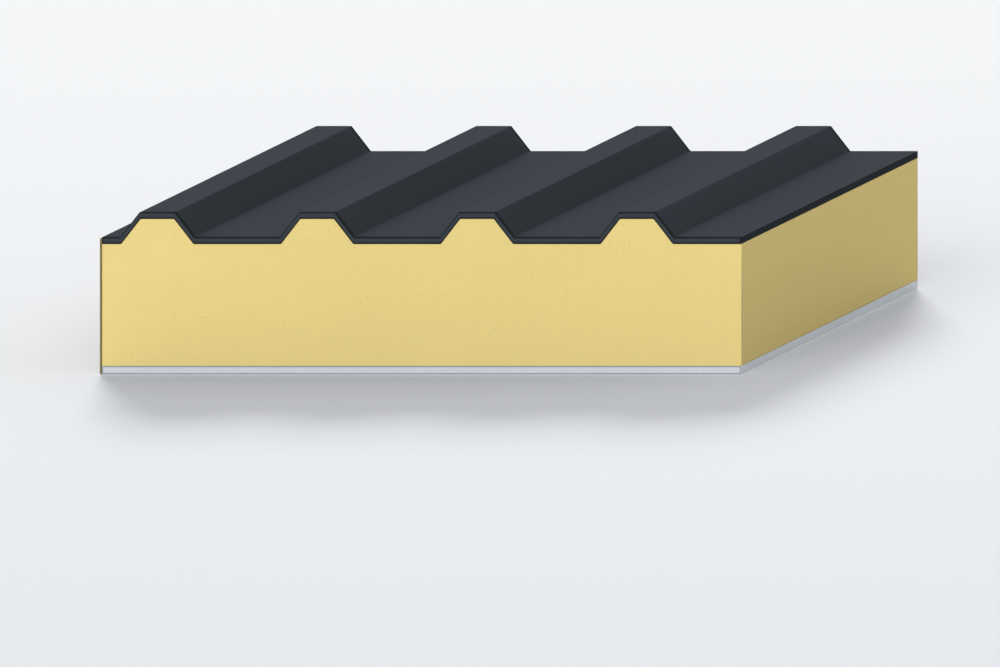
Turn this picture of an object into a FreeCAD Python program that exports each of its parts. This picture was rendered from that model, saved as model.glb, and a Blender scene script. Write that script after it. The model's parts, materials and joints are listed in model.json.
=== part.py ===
"""A short length of insulated roof panel, cut square from a continuous slab.

The panel is a sandwich: a folded weather sheet with four crowns on top, a rigid foam core
that rises into each crown, a flat liner sheet underneath, and a soft gasket strip stuck to
the left joint edge.  X runs across the crowns, Y along them and Z up; the origin is the
middle of the underside.  All sizes are in millimetres.
"""

import FreeCAD
import Part
import math
import os

Vector = FreeCAD.Vector

# Slab
PANEL_THICKNESS = 120.0  # nominal thickness, from the pans' top face to the liner's underside
PANEL_LENGTH = 345.0  # along the crowns, saw cut to saw cut

# Crowns of the weather sheet, measured on its outer face
CROWN_COUNT = 4
CROWN_PITCH = 140.0
CROWN_HEIGHT = 22.0  # above the pans
CROWN_TOP_WIDTH = 31.0
CROWN_FOOT_WIDTH = 65.0
FIRST_FOOT_INSET = 16.0  # from the left joint edge to the first crown's foot
BEND_RADIUS = 1.4

# Sheets
SHEET_THICKNESS = 6.0  # weather sheet, on its pans and crown tops
FLANK_THICKNESS = 4.3  # weather sheet, square to a crown's sloping flank
LINER_THICKNESS = 7.2
LINER_ARRIS_RADIUS = 0.9  # rolled lower long edges of the liner

# Gasket on the left joint edge
GASKET_THICKNESS = 1.8
GASKET_ROUNDING = 1.3  # rounded outer long edges of the soft strip

# Worked out from the sizes above
COVER_WIDTH = CROWN_COUNT * CROWN_PITCH
LEFT_EDGE = (GASKET_THICKNESS - COVER_WIDTH) / 2
RIGHT_EDGE = LEFT_EDGE + COVER_WIDTH
PAN_HEIGHT = PANEL_THICKNESS
CORE_TOP = PAN_HEIGHT - SHEET_THICKNESS
FLANK_RUN = (CROWN_FOOT_WIDTH - CROWN_TOP_WIDTH) / 2
FLANK_ANGLE = math.atan2(CROWN_HEIGHT, FLANK_RUN)

# The foam rib under a crown: the flank moved inwards by its own thickness, and down with the top
RIB_INSET = FLANK_THICKNESS / math.sin(FLANK_ANGLE) - SHEET_THICKNESS / math.tan(FLANK_ANGLE)
RIB_TOP_WIDTH = CROWN_TOP_WIDTH - 2 * RIB_INSET
RIB_FOOT_WIDTH = CROWN_FOOT_WIDTH - 2 * RIB_INSET


def crown_centres():
    """X of the middle of each crown, left to right."""
    first = LEFT_EDGE + FIRST_FOOT_INSET + CROWN_FOOT_WIDTH / 2
    return [first + index * CROWN_PITCH for index in range(CROWN_COUNT)]


def crowned_corners(base_height, foot_width, top_width):
    """Corners of a crowned line across the panel, from the left joint edge to the right one."""
    corners = [Vector(LEFT_EDGE, 0, base_height)]
    for centre in crown_centres():
        corners += [
            Vector(centre - foot_width / 2, 0, base_height),
            Vector(centre - top_width / 2, 0, base_height + CROWN_HEIGHT),
            Vector(centre + top_width / 2, 0, base_height + CROWN_HEIGHT),
            Vector(centre + foot_width / 2, 0, base_height),
        ]
    corners.append(Vector(RIGHT_EDGE, 0, base_height))
    return corners


def bent_run(corners, radius):
    """Edges through the corners, where every corner between the first and last is an arc."""
    edges = []
    start = corners[0]
    for before, corner, after in zip(corners, corners[1:], corners[2:]):
        backwards = (before - corner).normalize()
        forwards = (after - corner).normalize()
        half_angle = backwards.getAngle(forwards) / 2
        setback = radius / math.tan(half_angle)
        bulge = radius / math.sin(half_angle) - radius
        arc_start = corner + backwards * setback
        arc_middle = corner + (backwards + forwards).normalize() * bulge
        arc_end = corner + forwards * setback
        edges.append(Part.LineSegment(start, arc_start).toShape())
        edges.append(Part.Arc(arc_start, arc_middle, arc_end).toShape())
        start = arc_end
    edges.append(Part.LineSegment(start, corners[-1]).toShape())
    return edges


def straight_run(corners):
    """Straight edges from each corner to the next."""
    return [Part.LineSegment(a, b).toShape() for a, b in zip(corners, corners[1:])]


def sawn_length(edges):
    """The closed outline of these edges, extruded over the panel's length about Y = 0."""
    outline = Part.Wire(Part.__sortEdges__(edges))
    section = Part.Face(outline)
    section.translate(Vector(0, -PANEL_LENGTH / 2, 0))
    return section.extrude(Vector(0, PANEL_LENGTH, 0))


def weather_sheet():
    """Folded outer sheet: crowned outer face, and the same line stepped in for its underside."""
    outer = crowned_corners(PAN_HEIGHT, CROWN_FOOT_WIDTH, CROWN_TOP_WIDTH)
    under = crowned_corners(CORE_TOP, RIB_FOOT_WIDTH, RIB_TOP_WIDTH)
    edges = bent_run(outer, BEND_RADIUS) + bent_run(under, BEND_RADIUS)
    edges += straight_run([outer[0], under[0]])
    edges += straight_run([outer[-1], under[-1]])
    return sawn_length(edges)


def foam_core():
    """Foam slab between the two sheets, with a rib that fills each crown."""
    upper = crowned_corners(CORE_TOP, RIB_FOOT_WIDTH, RIB_TOP_WIDTH)
    lower_left = Vector(LEFT_EDGE, 0, LINER_THICKNESS)
    lower_right = Vector(RIGHT_EDGE, 0, LINER_THICKNESS)
    edges = bent_run(upper, BEND_RADIUS)
    edges += straight_run([upper[-1], lower_right, lower_left, upper[0]])
    return sawn_length(edges)


def liner_sheet():
    """Flat inner sheet, with its two lower long edges rolled over."""
    corners = [
        Vector(LEFT_EDGE, 0, LINER_THICKNESS),
        Vector(LEFT_EDGE, 0, 0),
        Vector(RIGHT_EDGE, 0, 0),
        Vector(RIGHT_EDGE, 0, LINER_THICKNESS),
    ]
    edges = bent_run(corners, LINER_ARRIS_RADIUS)
    edges += straight_run([corners[-1], corners[0]])
    return sawn_length(edges)


def joint_gasket():
    """Soft strip over the whole left joint edge, with rounded outer long edges."""
    outer_face = LEFT_EDGE - GASKET_THICKNESS
    corners = [
        Vector(LEFT_EDGE, 0, PAN_HEIGHT),
        Vector(outer_face, 0, PAN_HEIGHT),
        Vector(outer_face, 0, 0),
        Vector(LEFT_EDGE, 0, 0),
    ]
    edges = bent_run(corners, GASKET_ROUNDING)
    edges += straight_run([corners[-1], corners[0]])
    return sawn_length(edges)


PIECES = {
    "weather_sheet": weather_sheet,
    "foam_core": foam_core,
    "liner_sheet": liner_sheet,
    "joint_gasket": joint_gasket,
}

os.makedirs("parts", exist_ok=True)
for name, make in PIECES.items():
    solid = make()
    solid.exportStep("parts/" + name + ".step")
    print(name, "valid", solid.isValid(), "volume", round(solid.Volume), "mm3")
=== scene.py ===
import json
import math
import bpy
from mathutils import Matrix, Vector


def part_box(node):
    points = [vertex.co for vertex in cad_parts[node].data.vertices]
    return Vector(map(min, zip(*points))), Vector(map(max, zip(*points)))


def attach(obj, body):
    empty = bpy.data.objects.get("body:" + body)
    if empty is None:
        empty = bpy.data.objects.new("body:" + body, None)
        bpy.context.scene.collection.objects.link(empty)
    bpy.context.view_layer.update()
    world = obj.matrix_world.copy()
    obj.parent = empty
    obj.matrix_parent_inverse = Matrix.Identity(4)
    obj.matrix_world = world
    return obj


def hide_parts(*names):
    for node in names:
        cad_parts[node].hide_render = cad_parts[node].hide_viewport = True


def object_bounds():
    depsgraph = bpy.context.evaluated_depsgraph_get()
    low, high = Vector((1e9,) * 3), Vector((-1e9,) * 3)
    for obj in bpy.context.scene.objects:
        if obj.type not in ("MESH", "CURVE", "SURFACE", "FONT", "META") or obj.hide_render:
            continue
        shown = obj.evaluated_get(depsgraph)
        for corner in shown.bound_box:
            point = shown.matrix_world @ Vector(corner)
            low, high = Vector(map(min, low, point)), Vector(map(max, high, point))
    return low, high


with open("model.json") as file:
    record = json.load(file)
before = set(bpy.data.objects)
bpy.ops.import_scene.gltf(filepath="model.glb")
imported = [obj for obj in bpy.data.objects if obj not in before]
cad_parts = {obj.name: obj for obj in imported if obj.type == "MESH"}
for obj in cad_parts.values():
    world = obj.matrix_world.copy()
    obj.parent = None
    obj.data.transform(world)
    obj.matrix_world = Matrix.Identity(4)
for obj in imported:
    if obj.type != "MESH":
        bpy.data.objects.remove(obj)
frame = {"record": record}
cad_low, cad_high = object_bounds()


# ---- Weather sheet ----------------------------------------------------------------------------
# The outer facing: coil coated steel strip, roll formed cold into crowns with flat pans between
# them.  The panel saw leaves its section bare, so a dark edge lacquer is brushed along the cut,
# a little way back over the coating.  Both long edges are brushed in a still darker colour, which
# is painted shade on the sheet's side faces.

# Sizes, in metres
CROWN_TOP_WIDTH = 0.031
CROWN_FOOT_WIDTH = 0.065
FLANK_THICKNESS = 0.0043
BEND_RADIUS = 0.0014
SHEET_ARRIS = 0.00015
LACQUER_ALONG_TOP = 0.0011
LACQUER_ALONG_FOAM = 0.0015
LACQUER_OVER_COATING = 0.0030

CORNERS_PER_CROWN = 4
BEND_STEPS = 6
RIM_STEPS = 3
ARRIS_STEPS = 2
ARRIS_FROM_ANGLE = 60

DARK_COATING = (0.0430, 0.0516, 0.0611)
DARK_SECTION = (0.0423, 0.0513, 0.0595)
DARK_LACQUER = (0.0140, 0.0170, 0.0186)
# Darker than the section and the rims: painted shade on the sheet's long side faces
LONG_EDGE_PAINTED_SHADE = (0.0150, 0.0182, 0.0212)
DARK_COATING_GLOSS = 0.01
DARK_EDGE_GLOSS = 0.015

# Waves a metre across, along and up, and the height of the relief
COATING_GRAIN = (1500, 1500, 1500)
COATING_GRAIN_HEIGHT = 0.00004
ORANGE_PEEL = (420, 260, 420)
ORANGE_PEEL_HEIGHT = 0.00003
COATING_BANDS = (240, 2.5, 240)
COATING_CLOUDS = (12, 7, 12)
SAW_SCORES = (1400, 60, 60)
SAW_SCORE_HEIGHT = 0.00004
SECTION_BLOTCHES = (90, 90, 90)
BRUSH_DRAG = (150, 40, 150)
BRUSH_DRAG_HEIGHT = 0.0001
LACQUER_GRAIN = (1200, 1200, 1200)
LACQUER_GRAIN_HEIGHT = 0.00002


class Flow:
    """One output of a node.  Arithmetic on it adds Math nodes; < and > give 1 or 0."""

    def __init__(self, graph, node, take):
        self.graph = graph
        self.node = node
        self.take = take

    def also(self, take):
        """Another output of the same node."""
        return Flow(self.graph, self.node, take)

    def __add__(self, other):
        return self.graph.math("ADD", self, other)

    def __radd__(self, other):
        return self.graph.math("ADD", other, self)

    def __sub__(self, other):
        return self.graph.math("SUBTRACT", self, other)

    def __rsub__(self, other):
        return self.graph.math("SUBTRACT", other, self)

    def __mul__(self, other):
        return self.graph.math("MULTIPLY", self, other)

    def __rmul__(self, other):
        return self.graph.math("MULTIPLY", other, self)

    def __truediv__(self, other):
        return self.graph.math("DIVIDE", self, other)

    def __mod__(self, other):
        return self.graph.math("FLOORED_MODULO", self, other)

    def __lt__(self, other):
        return self.graph.math("LESS_THAN", self, other)

    def __gt__(self, other):
        return self.graph.math("GREATER_THAN", self, other)

    def __abs__(self):
        return self.graph.math("ABSOLUTE", self)


class Graph:
    """A node tree.  Every node in it comes from add()."""

    def __init__(self, tree):
        self.tree = tree

    def add(self, kind, settings=None, sockets=None, take=0):
        """A new node: first its settings, then the values or flows of its sockets."""
        node = self.tree.nodes.new(kind)
        for name, value in (settings or {}).items():
            setattr(node, name, value)
        for key, value in (sockets or {}).items():
            socket = self.pick(node.inputs, key)
            flows = value if isinstance(value, list) else [value]
            for flow in flows:
                if isinstance(flow, Flow):
                    self.tree.links.new(self.pick(flow.node.outputs, flow.take), socket)
                else:
                    socket.default_value = flow
        return Flow(self, node, take)

    def pick(self, sockets, key):
        """A socket by its place, or by its name among the sockets in use."""
        if isinstance(key, int):
            return sockets[key]
        return next(s for s in sockets if s.enabled and key in (s.name, s.identifier))

    def math(self, operation, *terms):
        return self.add("ShaderNodeMath", {"operation": operation}, dict(enumerate(terms)))


class ShapeGraph(Graph):
    """A Geometry Nodes tree with named inputs and one shape as its output."""

    def __init__(self, name):
        super().__init__(bpy.data.node_groups.new(name, "GeometryNodeTree"))

    def size(self, name):
        return self.entry(name, "NodeSocketFloat")

    def entry(self, name, kind):
        """A named input of the tree."""
        self.tree.interface.new_socket(name, in_out="INPUT", socket_type=kind)
        return self.add("NodeGroupInput", take=name)

    def give(self, shape):
        """Realizes the shape and makes it the tree's output."""
        self.tree.interface.new_socket("Shape", in_out="OUTPUT", socket_type="NodeSocketGeometry")
        real = self.add("GeometryNodeRealizeInstances", None, {"Geometry": shape})
        self.add("NodeGroupOutput", None, {"Shape": real})

    def finish(self, shape, material):
        """The new shape in a material, which takes the place of the empty one it starts with."""
        return self.add("GeometryNodeReplaceMaterial", None, {"Geometry": shape, "New": material})

    def finish_part(self, shape, where, material):
        """The shape with another material on the faces where the field is above 0."""
        return self.add("GeometryNodeSetMaterial", None,
                        {"Geometry": shape, "Selection": where, "Material": material})


def near(flow, value):
    """1 where a flow of whole numbers has this one."""
    return abs(flow - value) < 0.1


def crowned_line(g, run, height, rise, top_width, foot_width):
    """The line of a sheet's face across the panel: flat pans, and over each crown with bends."""
    index = g.add("GeometryNodeInputIndex")
    last = run["crowns"] * CORNERS_PER_CROWN + 1
    crown = g.math("FLOOR", (index - 1) / CORNERS_PER_CROWN)
    turn = index - 1 - crown * CORNERS_PER_CROWN
    on_top = abs(turn - 1.5) < 1
    side = (turn > 1.5) * 2 - 1
    width = foot_width + on_top * (top_width - foot_width)
    at_left = index < 0.5
    at_right = index > last - 0.5
    between = 1 - at_left - at_right
    across = run["first"] + crown * run["pitch"] + side * width / 2
    corner = g.add("ShaderNodeCombineXYZ", None, {
        "X": at_left * run["left"] + at_right * run["right"] + between * across,
        "Z": height + between * on_top * rise,
    })
    straight = g.add("GeometryNodeCurvePrimitiveLine")
    divided = g.add("GeometryNodeResampleCurve", {"mode": "COUNT"},
                    {"Curve": straight, "Count": last + 1})
    folded = g.add("GeometryNodeSetPosition", None, {"Geometry": divided, "Position": corner})
    return g.add("GeometryNodeFilletCurve", {"mode": "POLY"},
                 {"Curve": folded, "Count": BEND_STEPS, "Radius": BEND_RADIUS})


def crowned_layer_tree():
    """One layer of the panel: a closed block, folded between an upper and a lower line.

    The block starts as a lattice.  Its columns follow the two lines, with one more column at
    each long edge; its rows cross the thickness and its ranks run along the panel, so that both
    saw cuts have a rim on all sides.  All three are counted from 0, and a face has the mean of
    its corners' counts: a whole number where it lies along the lattice, a half between two.
    """
    g = ShapeGraph("crowned_layer")
    run = {name: g.size(name) for name in ("left", "right", "first", "pitch")}
    run["crowns"] = g.entry("crowns", "NodeSocketInt")
    front, back = g.size("front"), g.size("back")
    line_sizes = ("height", "rise", "top width", "foot width")
    upper = [g.size("upper " + name) for name in line_sizes]
    lower = [g.size("lower " + name) for name in line_sizes]
    upper_rim, lower_rim, wrap = g.size("upper rim"), g.size("lower rim"), g.size("wrap")
    face, cut, rim, edge = [g.entry(name, "NodeSocketMaterial")
                            for name in ("face", "cut", "rim", "edge")]

    columns = run["crowns"] * CORNERS_PER_CROWN * (BEND_STEPS + 1) + 4
    lattice = g.add("GeometryNodeMeshCube", None, {
        "Vertices X": columns, "Vertices Y": RIM_STEPS + 1, "Vertices Z": RIM_STEPS + 1})
    marked = g.add("GeometryNodeStoreNamedAttribute",
                   {"data_type": "FLOAT_VECTOR", "domain": "POINT"},
                   {"Geometry": lattice, "Name": "cell", "Value": g.add("GeometryNodeInputPosition")})
    cell = g.add("GeometryNodeInputNamedAttribute", {"data_type": "FLOAT_VECTOR"}, {"Name": "cell"})
    place = g.add("ShaderNodeSeparateXYZ", None, {0: cell})
    column = (place.also("X") + 0.5) * (columns - 1)
    rank = (place.also("Y") + 0.5) * RIM_STEPS
    row = (place.also("Z") + 0.5) * RIM_STEPS

    def at_column(line):
        """Where the column stands on a line."""
        return g.add("GeometryNodeSampleIndex", {"data_type": "FLOAT_VECTOR", "clamp": True}, {
            "Geometry": crowned_line(g, run, *line),
            "Value": g.add("GeometryNodeInputPosition"),
            "Index": g.math("ROUND", column - 1),
        })

    thickness = upper[0] - lower[0]
    share = (near(row, RIM_STEPS) + near(row, 1) * lower_rim / thickness
             + near(row, RIM_STEPS - 1) * (1 - upper_rim / thickness))
    folded = g.add("ShaderNodeMix", {"data_type": "VECTOR"},
                   {"Factor": share, "A": at_column(lower), "B": at_column(upper)}, take="Result")
    section = g.add("ShaderNodeSeparateXYZ", None, {0: folded})
    inset = upper_rim * (near(column, 1) - near(column, columns - 2))
    along = (near(rank, 0) * front + near(rank, 1) * (front + wrap)
             + near(rank, RIM_STEPS - 1) * (back - wrap) + near(rank, RIM_STEPS) * back)
    layer = g.add("GeometryNodeSetPosition", None, {
        "Geometry": marked,
        "Position": g.add("ShaderNodeCombineXYZ", None, {
            "X": section.also("X") + inset, "Y": along, "Z": section.also("Z")}),
    })

    def within(count, last, steps):
        """1 on the faces less than this many steps from the first or the last count."""
        return abs(count - last / 2) > last / 2 - steps

    on_cut = within(rank, RIM_STEPS, 0.01)
    on_edge = within(column, columns - 1, 0.01)
    on_rim = within(row, RIM_STEPS, 0.6) + within(column, columns - 1, 0.9)
    on_wrap = (row > RIM_STEPS - 0.1) * within(rank, RIM_STEPS, 0.6)
    bend = ((column - 2) % (BEND_STEPS + 1)) < BEND_STEPS
    layer = g.finish(layer, face)
    layer = g.finish_part(layer, on_wrap, rim)
    layer = g.finish_part(layer, on_edge, edge)
    layer = g.finish_part(layer, on_cut, cut)
    layer = g.finish_part(layer, on_cut * on_rim, rim)
    layer = g.add("GeometryNodeSetShadeSmooth", None,
                  {"Geometry": layer, "Shade Smooth": bend * (1 - on_cut)})
    g.give(g.add("GeometryNodeRemoveAttribute", None, {"Geometry": layer, "Name": "cell"}))
    return g.tree


def grow(name, growth, arris=0):
    """A plain mesh object, grown by trees with the values of their named inputs."""
    bed = bpy.data.objects.new(name + "_bed", bpy.data.meshes.new(name))
    bpy.context.scene.collection.objects.link(bed)
    for tree, values in growth:
        modifier = bed.modifiers.new(tree.name, "NODES")
        modifier.node_group = tree
        for entry in tree.interface.items_tree:
            if entry.name in values:
                modifier[entry.identifier] = values[entry.name]
    if arris:
        bevel = bed.modifiers.new("arris", "BEVEL")
        bevel.width = arris
        bevel.segments = ARRIS_STEPS
        bevel.limit_method = "ANGLE"
        bevel.angle_limit = math.radians(ARRIS_FROM_ANGLE)
    grown = bed.evaluated_get(bpy.context.evaluated_depsgraph_get())
    piece = bpy.data.objects.new(name, bpy.data.meshes.new_from_object(grown))
    bpy.data.objects.remove(bed)
    bpy.context.scene.collection.objects.link(piece)
    return piece


def noise(g, stretch, detail=2.0):
    """Noise about 0, from -0.5 to 0.5, with this many waves a metre along X, Y and Z."""
    place = g.add("ShaderNodeVectorMath", {"operation": "MULTIPLY"},
                  {0: g.add("ShaderNodeTexCoord", take="Object"), 1: stretch})
    return g.add("ShaderNodeTexNoise", None,
                 {"Vector": place, "Scale": 1.0, "Detail": detail, "Roughness": 0.55}) - 0.5


def surface(name, build, colour, gloss):
    """A material whose shade, roughness and relief in metres come from build(graph)."""
    material = bpy.data.materials.new(name)
    material.use_nodes = True
    material.node_tree.nodes.clear()
    g = Graph(material.node_tree)
    shade, roughness, relief = build(g)
    g.add("ShaderNodeOutputMaterial", None, {"Surface": g.add("ShaderNodeBsdfPrincipled", None, {
        "Base Color": g.add("ShaderNodeVectorMath", {"operation": "SCALE"},
                            {0: colour, "Scale": shade}),
        "Roughness": roughness,
        "Specular IOR Level": gloss,
        "Normal": g.add("ShaderNodeBump", None, {"Height": relief, "Distance": 1.0}),
    })})
    return material


def coil_coating(g):
    """Roller coated paint: fine orange peel, and faint bands along the strip."""
    grain = noise(g, COATING_GRAIN, 3.0)
    peel = noise(g, ORANGE_PEEL)
    bands = noise(g, COATING_BANDS)
    cloud = noise(g, COATING_CLOUDS)
    shade = 1 + cloud * 0.07 + bands * 0.05 + grain * 0.10
    roughness = 0.70 + cloud * 0.12 + grain * 0.10
    return shade, roughness, grain * COATING_GRAIN_HEIGHT + peel * ORANGE_PEEL_HEIGHT


def sheared_section(g):
    """The sawn end of a facing, with fine scores across its thickness."""
    scores = noise(g, SAW_SCORES, 3.0)
    blotch = noise(g, SECTION_BLOTCHES)
    shade = 1 + scores * 0.14 + blotch * 0.08
    return shade, 0.60 + blotch * 0.2, scores * SAW_SCORE_HEIGHT


def edge_lacquer(g):
    """Brushed lacquer, slightly uneven in thickness."""
    drag = noise(g, BRUSH_DRAG)
    grain = noise(g, LACQUER_GRAIN)
    shade = 1 + drag * 0.12 + grain * 0.1
    return shade, 0.55 + drag * 0.2, drag * BRUSH_DRAG_HEIGHT + grain * LACQUER_GRAIN_HEIGHT


record = frame["record"]
crown_places = [Vector(m["pos_m"]) for m in record["mounts"] if m["name"].startswith("crown_top")]
sheet_low, sheet_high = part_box("weather_sheet")
rib_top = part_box("foam_core")[1].z
pan_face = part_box("joint_gasket")[1].z
crown_rise = sheet_high.z - pan_face
flank_run = (CROWN_FOOT_WIDTH - CROWN_TOP_WIDTH) / 2
flank_angle = math.atan2(crown_rise, flank_run)
rib_inset = (FLANK_THICKNESS / math.sin(flank_angle)
             - (sheet_high.z - rib_top) / math.tan(flank_angle))
RIB_TOP_WIDTH = CROWN_TOP_WIDTH - 2 * rib_inset
RIB_FOOT_WIDTH = CROWN_FOOT_WIDTH - 2 * rib_inset
crowned_layer = crowned_layer_tree()
panel_run = {
    "left": sheet_low.x,
    "right": sheet_high.x,
    "front": sheet_low.y,
    "back": sheet_high.y,
    "first": crown_places[0].x,
    "pitch": crown_places[1].x - crown_places[0].x,
    "wrap": LACQUER_OVER_COATING,
}
weather_sheet = grow("weather_sheet_coated", [(crowned_layer, {
    **panel_run,
    "crowns": len(crown_places),
    "upper height": pan_face,
    "upper rise": crown_rise,
    "upper top width": CROWN_TOP_WIDTH,
    "upper foot width": CROWN_FOOT_WIDTH,
    "lower height": sheet_low.z,
    "lower rise": crown_rise,
    "lower top width": RIB_TOP_WIDTH,
    "lower foot width": RIB_FOOT_WIDTH,
    "upper rim": LACQUER_ALONG_TOP,
    "lower rim": LACQUER_ALONG_FOAM,
    "face": surface("dark_coil_coating", coil_coating, DARK_COATING, DARK_COATING_GLOSS),
    "cut": surface("dark_sheet_section", sheared_section, DARK_SECTION, DARK_EDGE_GLOSS),
    "rim": surface("dark_edge_lacquer", edge_lacquer, DARK_LACQUER, DARK_EDGE_GLOSS),
    # The long edges: painted shade, in the brushed texture of the lacquer
    "edge": surface("dark_long_edge_painted_shade", edge_lacquer, LONG_EDGE_PAINTED_SHADE, DARK_EDGE_GLOSS),
})], SHEET_ARRIS)
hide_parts("weather_sheet")
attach(weather_sheet, "root")


# ---- Foam core --------------------------------------------------------------------------------
# Rigid closed cell foam, poured between the two facings and set against them, so that it fills
# each crown.  The panel saw cuts it square, a hair behind the steel: the two ends are bare cells
# with pores torn open and crumbs left on them, and the long side is the smooth skin of the mould.
# The skin is coloured darker than the sawn ends, which is painted shade on the long side.

FOAM_BEHIND_STEEL = 0.00045

# Radii, and the depth of a pore or the height of a crumb in its own radii
PORE_RADII = (0.00036, 0.00056)
PORE_DEPTH = 1.4
PORES_PER_SQUARE_METRE = 3000
CRUMB_RADII = (0.00032, 0.00048)
CRUMB_DEPTH = 0.9
CRUMBS_PER_SQUARE_METRE = 1800
BALL_SPACING = 4
SQUARE_TO_CUT = 0.9
SLIVER_WIDTH = 0.000005

FOAM_COLOUR = (0.8140, 0.6490, 0.2470)
# Darker than the sawn foam: painted shade on the skin of the long sides
FOAM_SKIN_SHADED_COLOUR = (0.6600, 0.5210, 0.1980)
CRUMB_COLOUR = (0.91, 0.78, 0.42)
FOAM_GLOSS = 0.1
FOAM_SKIN_GLOSS = 0.15

# Waves or cells a metre across, along and up, and the height of the relief
FOAM_CELLS = (1500, 1500, 1050)
FOAM_CELL_DEPTH = 0.00012
SAW_MARKS = (330, 330, 5)
SAW_MARK_HEIGHT = 0.00006
FOAM_RISE = (14, 14, 55)
FOAM_CLOUDS = (9, 9, 16)
FLOW_LINES = (300, 6, 130)
FLOW_LINE_HEIGHT = 0.00006
SKIN_CLOUDS = (14, 9, 20)


def torn_cells_tree():
    """Pores carved into the saw cuts and crumbs left on them, as small balls set on the faces."""
    g = ShapeGraph("torn_cells")
    body = g.entry("Body", "NodeSocketGeometry")
    finish = g.entry("finish", "NodeSocketMaterial")
    normal = g.add("ShaderNodeSeparateXYZ", None, {0: g.add("GeometryNodeInputNormal")})

    def balls(kind, material):
        """Balls at random on both cuts, of this kind's number and sizes."""
        smallest, largest = g.size(kind + " smallest"), g.size(kind + " largest")
        seed = g.entry(kind + " seed", "NodeSocketInt")
        radius = g.add("FunctionNodeRandomValue", {"data_type": "FLOAT"},
                       {"Min": smallest, "Max": largest, "Seed": seed}, take="Value")
        depth = radius * g.size(kind + " depth")
        points = g.add("GeometryNodeDistributePointsOnFaces", {"distribute_method": "POISSON"}, {
            "Mesh": body,
            "Selection": abs(normal.also("Y")) > SQUARE_TO_CUT,
            "Distance Min": largest * BALL_SPACING,
            "Density Max": g.size(kind + "s per square metre"),
            "Seed": seed,
        })
        placed = g.add("GeometryNodeInstanceOnPoints", None, {
            "Points": points,
            "Instance": g.add("GeometryNodeMeshIcoSphere", None, {"Radius": 1.0, "Subdivisions": 2}),
            "Scale": g.add("ShaderNodeCombineXYZ", None, {"X": radius, "Y": depth, "Z": radius}),
        })
        real = g.add("GeometryNodeRealizeInstances", None, {"Geometry": placed})
        return g.finish(real, material)

    carved = g.add("GeometryNodeMeshBoolean", {"operation": "DIFFERENCE", "solver": "MANIFOLD"},
                   {"Mesh 1": body, "Mesh 2": balls("pore", finish)})
    crumbs = balls("crumb", g.entry("crumb finish", "NodeSocketMaterial"))
    torn = g.add("GeometryNodeMeshBoolean", {"operation": "UNION", "solver": "MANIFOLD"},
                 {"Mesh 2": [carved, crumbs]})
    triangles = g.add("GeometryNodeTriangulate", None, {"Mesh": torn})
    g.give(g.add("GeometryNodeMergeByDistance", None,
                 {"Geometry": triangles, "Distance": SLIVER_WIDTH}))
    return g.tree


def sawn_foam(g):
    """Open cells about half a millimetre wide, drawn out upwards, with faint upright saw marks."""
    cells = g.add("ShaderNodeTexVoronoi", {"feature": "F1"}, {
        "Vector": g.add("ShaderNodeVectorMath", {"operation": "MULTIPLY"},
                        {0: g.add("ShaderNodeTexCoord", take="Object"), 1: FOAM_CELLS}),
        "Scale": 1.0,
    }, take="Distance")
    marks = noise(g, SAW_MARKS, 3.0)
    rise = noise(g, FOAM_RISE, 3.0)
    cloud = noise(g, FOAM_CLOUDS)
    shade = 1 + cloud * 0.05 + rise * 0.04 + marks * 0.03 + (0.45 - cells) * 0.05
    return shade, 0.93 + cloud * 0.05, marks * SAW_MARK_HEIGHT - cells * FOAM_CELL_DEPTH


def shaded_foam_skin(g):
    """The skin that sets against the side mould, with faint flow lines along the panel."""
    lines = noise(g, FLOW_LINES, 3.0)
    cloud = noise(g, SKIN_CLOUDS)
    shade = 1 + cloud * 0.05 + lines * 0.04
    return shade, 0.85 + cloud * 0.1, lines * FLOW_LINE_HEIGHT


foam_low, foam_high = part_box("foam_core")
foam_section = surface("sawn_foam", sawn_foam, FOAM_COLOUR, FOAM_GLOSS)
# The skin's darker colour is painted shade on the long sides
shaded_moulded_skin = surface("shaded_foam_skin", shaded_foam_skin, FOAM_SKIN_SHADED_COLOUR, FOAM_SKIN_GLOSS)
foam_core = grow("foam_core_sawn", [
    (crowned_layer, {
        **panel_run,
        "front": foam_low.y + FOAM_BEHIND_STEEL,
        "back": foam_high.y - FOAM_BEHIND_STEEL,
        "crowns": len(crown_places),
        "upper height": sheet_low.z,
        "upper rise": crown_rise,
        "upper top width": RIB_TOP_WIDTH,
        "upper foot width": RIB_FOOT_WIDTH,
        "lower height": foam_low.z,
        "lower rise": 0.0,
        "lower top width": RIB_TOP_WIDTH,
        "lower foot width": RIB_FOOT_WIDTH,
        "upper rim": LACQUER_ALONG_FOAM,
        "lower rim": LACQUER_ALONG_FOAM,
        "face": shaded_moulded_skin,
        "cut": foam_section,
        "rim": foam_section,
        "edge": shaded_moulded_skin,
    }),
    (torn_cells_tree(), {
        "finish": foam_section,
        "pores per square metre": PORES_PER_SQUARE_METRE,
        "pore smallest": PORE_RADII[0],
        "pore largest": PORE_RADII[1],
        "pore depth": PORE_DEPTH,
        "pore seed": 4,
        "crumb finish": surface("foam_crumb", sawn_foam, CRUMB_COLOUR, FOAM_GLOSS),
        "crumbs per square metre": CRUMBS_PER_SQUARE_METRE,
        "crumb smallest": CRUMB_RADII[0],
        "crumb largest": CRUMB_RADII[1],
        "crumb depth": CRUMB_DEPTH,
        "crumb seed": 5,
    }),
])
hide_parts("foam_core")
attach(foam_core, "root")

# Bounced light passes the foam by, which keeps its yellow off the floor
foam_core.visible_diffuse = False


# ---- Liner sheet ------------------------------------------------------------------------------
# The inner facing: flat steel strip with a pale coil coating, bonded by the foam itself.  Its
# long edges are rolled a little, and its section is sealed around with a grey edge lacquer.

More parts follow.
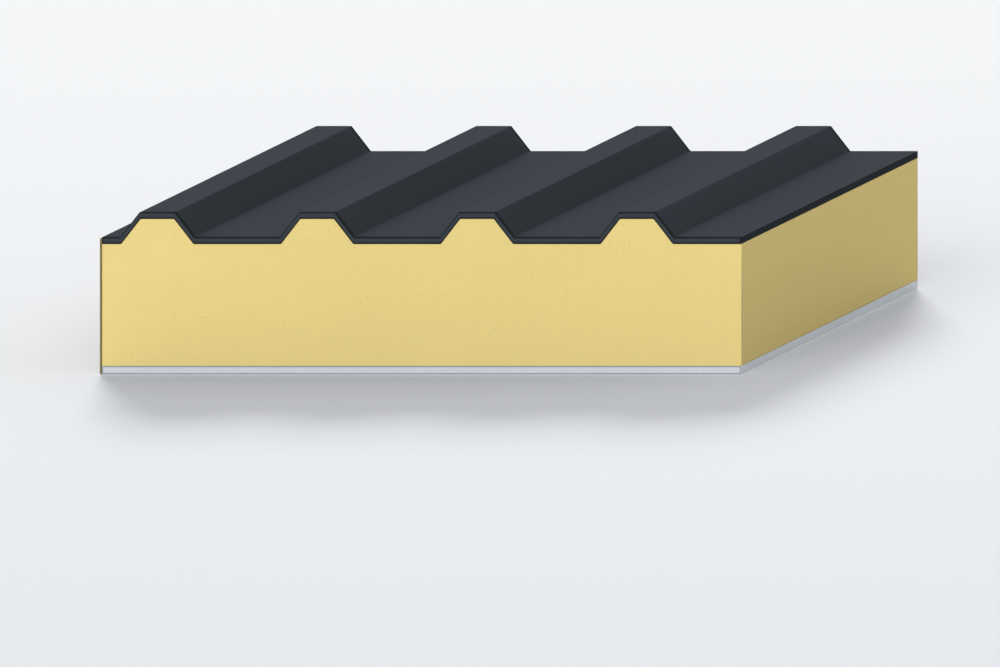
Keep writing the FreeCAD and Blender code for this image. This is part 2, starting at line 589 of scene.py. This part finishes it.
LINER_ARRIS = 0.0005
LINER_RIM = 0.0011
PALE_COATING = (0.6330, 0.6650, 0.7000)
PALE_LACQUER = (0.3050, 0.3280, 0.3470)
PALE_COATING_GLOSS = 0.25
PALE_SECTION_GLOSS = 0.2

liner_low, liner_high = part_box("liner_sheet")
pale_coating = surface("pale_coil_coating", coil_coating, PALE_COATING, PALE_COATING_GLOSS)
liner_sheet = grow("liner_sheet_coated", [(crowned_layer, {
    **panel_run,
    "crowns": 0,
    "upper height": liner_high.z,
    "lower height": liner_low.z,
    "upper rim": LINER_RIM,
    "lower rim": LINER_RIM,
    "face": pale_coating,
    "cut": surface("pale_sheet_section", sheared_section, PALE_COATING, PALE_SECTION_GLOSS),
    "rim": surface("pale_edge_lacquer", edge_lacquer, PALE_LACQUER, PALE_COATING_GLOSS),
    "edge": pale_coating,
})], LINER_ARRIS)
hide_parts("liner_sheet")
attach(liner_sheet, "root")


# ---- Joint gasket -----------------------------------------------------------------------------
# A thin strip of soft closed cell foam, stuck down the whole left joint edge so that the next
# panel squeezes it.  It is cut from a roll, so its outer face is slightly wavy and its long
# edges are round.  Its dark olive, a shaded copy of the foam's colour, is painted shade on the
# panel's left side.

GASKET_WAVE = 0.00020
GASKET_WAVES_PER_METRE = 26.0
GASKET_ROUNDING = 0.0013
GASKET_BELOW_COATING = 0.0007
GASKET_ROWS = 48
GASKET_RANKS = 115
ROUNDING_ROWS = 5

# A darker copy of the foam's colour: painted shade on the panel's left side
GASKET_SHADED_COLOUR = (0.2100, 0.1680, 0.0640)
GASKET_GLOSS = 0.1

# Waves a metre across, along and up, and the height of the relief
TAPE_CELLS = (900, 900, 900)
TAPE_CELL_HEIGHT = 0.00012
DRAW_LINES = (160, 5, 420)
DRAW_LINE_HEIGHT = 0.00006
TAPE_CLOUDS = (30, 18, 30)


def soft_strip_tree():
    """An upright strip whose outer face waves in and out a little and rounds off at both edges."""
    g = ShapeGraph("soft_strip")
    low = g.add("ShaderNodeSeparateXYZ", None, {0: g.entry("low", "NodeSocketVector")})
    high = g.add("ShaderNodeSeparateXYZ", None, {0: g.entry("high", "NodeSocketVector")})
    wave, rounding = g.size("wave"), g.size("rounding")
    rows, ranks = g.entry("rows", "NodeSocketInt"), g.entry("ranks", "NodeSocketInt")
    finish = g.entry("finish", "NodeSocketMaterial")
    lattice = g.add("GeometryNodeMeshCube", None,
                    {"Vertices X": 2, "Vertices Y": ranks + 1, "Vertices Z": rows + 1})
    place = g.add("ShaderNodeSeparateXYZ", None, {0: g.add("GeometryNodeInputPosition")})
    row = (place.also("Z") + 0.5) * rows
    outer = place < 0
    lower_turn = g.math("MINIMUM", row / ROUNDING_ROWS, 1) * math.pi / 2
    upper_turn = g.math("MINIMUM", (rows - row) / ROUNDING_ROWS, 1) * math.pi / 2
    straight = g.add("ShaderNodeClamp", None, {
        "Value": (row - ROUNDING_ROWS) / (rows - 2 * ROUNDING_ROWS)})
    along = low.also("Y") + (place.also("Y") + 0.5) * (high.also("Y") - low.also("Y"))
    upward = (low.also("Z") + rounding * (1 - g.math("COSINE", lower_turn))
              + straight * (high.also("Z") - low.also("Z") - 2 * rounding)
              + rounding * g.math("COSINE", upper_turn))
    spot = g.add("ShaderNodeCombineXYZ", None, {"Y": along, "Z": upward})
    ripple = g.add("ShaderNodeTexNoise", None, {
        "Vector": spot, "Scale": GASKET_WAVES_PER_METRE, "Detail": 2.0})
    inward = ripple * wave + rounding * (
        2 - g.math("SINE", lower_turn) - g.math("SINE", upper_turn))
    across = high + outer * (low - high + inward)
    strip = g.add("GeometryNodeSetPosition", None, {
        "Geometry": lattice,
        "Position": g.add("ShaderNodeCombineXYZ", None, {"X": across, "Y": along, "Z": upward}),
    })
    facing = g.add("ShaderNodeSeparateXYZ", None, {0: g.add("GeometryNodeInputNormal")})
    soft = g.add("GeometryNodeSetShadeSmooth", None, {
        "Geometry": strip,
        "Shade Smooth": (facing < 0.5) * (abs(facing.also("Y")) < 0.5),
    })
    g.give(g.finish(soft, finish))
    return g.tree


def soft_foam_tape(g):
    """Skinned soft foam, with fine cells and faint draw lines along the roll."""
    cells = noise(g, TAPE_CELLS, 3.0)
    draw = noise(g, DRAW_LINES)
    cloud = noise(g, TAPE_CLOUDS)
    shade = 1 + cloud * 0.16 + draw * 0.10 + cells * 0.16
    return shade, 0.88 + cloud * 0.1, cells * TAPE_CELL_HEIGHT + draw * DRAW_LINE_HEIGHT


gasket_low, gasket_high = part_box("joint_gasket")
joint_gasket = grow("joint_gasket_strip", [(soft_strip_tree(), {
    "low": gasket_low,
    "high": gasket_high - Vector((0, 0, GASKET_BELOW_COATING)),
    "wave": GASKET_WAVE,
    "rounding": GASKET_ROUNDING,
    "rows": GASKET_ROWS,
    "ranks": GASKET_RANKS,
    "finish": surface("olive_gasket_painted_shade", soft_foam_tape, GASKET_SHADED_COLOUR, GASKET_GLOSS),
})])
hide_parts("joint_gasket")
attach(joint_gasket, "root")


# ---- Studio floor -----------------------------------------------------------------------------
# A wide pale floor, a little brighter towards the back.

FLOOR_RADIUS = 12.0
FLOOR_NEAR = (0.790, 0.806, 0.832)
FLOOR_FAR = (0.905, 0.915, 0.925)
FLOOR_NEAR_Y = -1.35
FLOOR_FAR_Y = 1.33

floor_material = bpy.data.materials.new("pale_floor")
floor_material.use_nodes = True
floor_material.node_tree.nodes.clear()
g = Graph(floor_material.node_tree)
depth = g.add("ShaderNodeSeparateXYZ", None,
              {0: g.add("ShaderNodeTexCoord", take="Object")}, take="Y")
distance_share = g.add("ShaderNodeMapRange", None,
                       {"Value": depth, "From Min": FLOOR_NEAR_Y, "From Max": FLOOR_FAR_Y})
g.add("ShaderNodeOutputMaterial", None, {"Surface": g.add("ShaderNodeBsdfDiffuse", None, {
    "Color": g.add("ShaderNodeMix", {"data_type": "RGBA"},
                   {"Factor": distance_share, "A": (*FLOOR_NEAR, 1), "B": (*FLOOR_FAR, 1)},
                   take="Result"),
})})
floor_mesh = bpy.data.meshes.new("studio_floor")
floor_mesh.from_pydata([(FLOOR_RADIUS * x, FLOOR_RADIUS * y, cad_low.z)
                        for x, y in ((-1, -1), (1, -1), (1, 1), (-1, 1))], [], [(0, 1, 2, 3)])
floor_mesh.materials.append(floor_material)
floor = bpy.data.objects.new("studio_floor", floor_mesh)
bpy.context.scene.collection.objects.link(floor)


# ---- Studio light -----------------------------------------------------------------------------
# An even pale surround and three soft lamps: a wide one low in front, one behind to the left and
# above, and a weak one over the right side.

SURROUND_STRENGTH = 0.43
BACKDROP_COLOUR = (0.850, 0.860, 0.875, 1)


def soft_lamp(name, towards, strength, spread):
    """A lamp far away in this direction, seen as a disc of this many degrees.

    Its strength is the light that it adds to a face square to it, where 1 shows a colour as
    it is written.
    """
    light = bpy.data.lights.new(name, "SUN")
    light.energy = strength * math.pi
    light.angle = math.radians(spread)
    lamp = bpy.data.objects.new(name, light)
    lamp.rotation_euler = Vector(towards).to_track_quat("Z", "Y").to_euler()
    lamp.visible_glossy = False
    bpy.context.scene.collection.objects.link(lamp)


soft_lamp("front_lamp", towards=(0.04, -0.94, 0.34), strength=0.61, spread=70)
soft_lamp("back_lamp", towards=(-0.40, 0.79, 0.46), strength=0.80, spread=20)
soft_lamp("side_lamp", towards=(0.80, -0.10, 0.60), strength=0.10, spread=60)

world = bpy.data.worlds.new("pale_surround")
world.use_nodes = True
world.node_tree.nodes.clear()
bpy.context.scene.world = world
g = Graph(world.node_tree)
path = g.add("ShaderNodeLightPath")
seen = g.math("MAXIMUM", path.also("Is Camera Ray"),
              g.math("MAXIMUM", path.also("Is Glossy Ray"), path.also("Is Transmission Ray")))
g.add("ShaderNodeOutputWorld", None, {"Surface": g.add("ShaderNodeBackground", None, {
    "Color": BACKDROP_COLOUR, "Strength": SURROUND_STRENGTH + seen * (1 - SURROUND_STRENGTH)})})


# ---- Camera -----------------------------------------------------------------------------------
# A cabinet view: the front cut is seen square on, and each metre of depth runs this far to the
# right and up.  The slant of the sight lines sits in the camera's rig, which other views drop.

FRAME_WIDTH = 0.8760
DEPTH_TO_RIGHT = 0.4487
DEPTH_UP = 0.2190
AIM_FROM_LEFT_EDGE = 0.3488
AIM_ABOVE_FLOOR = 0.0357
CAMERA_DISTANCE = 3.0

lens = bpy.data.cameras.new("cabinet_camera")
lens.type = "ORTHO"
lens.ortho_scale = FRAME_WIDTH
camera = bpy.data.objects.new("cabinet_camera", lens)
bpy.context.scene.collection.objects.link(camera)
rig = bpy.data.objects.new("camera_rig", None)
bpy.context.scene.collection.objects.link(rig)
aim = Vector((sheet_low.x + AIM_FROM_LEFT_EDGE, sheet_low.y, cad_low.z + AIM_ABOVE_FLOOR))
sight = Vector((-DEPTH_TO_RIGHT, 1, -DEPTH_UP))
slanted_axes = Matrix(((1, 0, DEPTH_TO_RIGHT, 0), (0, 0, -1, 0), (0, 1, DEPTH_UP, 0), (0, 0, 0, 1)))
camera.parent = rig
camera.matrix_parent_inverse = Matrix.Translation(aim - sight * CAMERA_DISTANCE) @ slanted_axes
bpy.context.scene.camera = camera
bpy.context.scene.view_settings.view_transform = "Standard"
